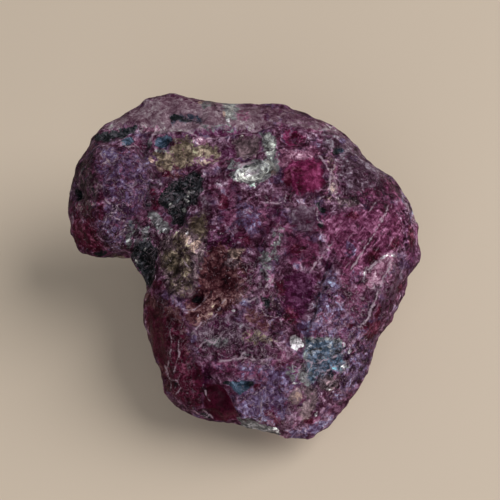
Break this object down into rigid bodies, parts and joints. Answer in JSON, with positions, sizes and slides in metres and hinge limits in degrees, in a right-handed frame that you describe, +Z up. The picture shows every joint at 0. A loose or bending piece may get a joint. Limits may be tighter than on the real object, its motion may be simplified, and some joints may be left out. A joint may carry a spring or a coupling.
{
  "type": "rough ruby",
  "caption": "Rough ruby nugget in host rock: a worn, lumpy stone with a side lobe, a ridge along its back, ledges, grooves and pits, resting on a small flat.",
  "frame": {"origin": "middle of the bounding box's bottom, on the surface that the stone rests on", "axes": "+Z up; +X along the stone's width, from the lobe's side to the striped plate; +Y toward the high back ridge, so the broad face looks along -Y and up"},
  "size_m": [0.0316, 0.0286, 0.0165],
  "materials": {
    "ruby": "satin"
  },
  "bodies": {
    "root": {"rough_ruby": "ruby"}
  },
  "joints": []
}
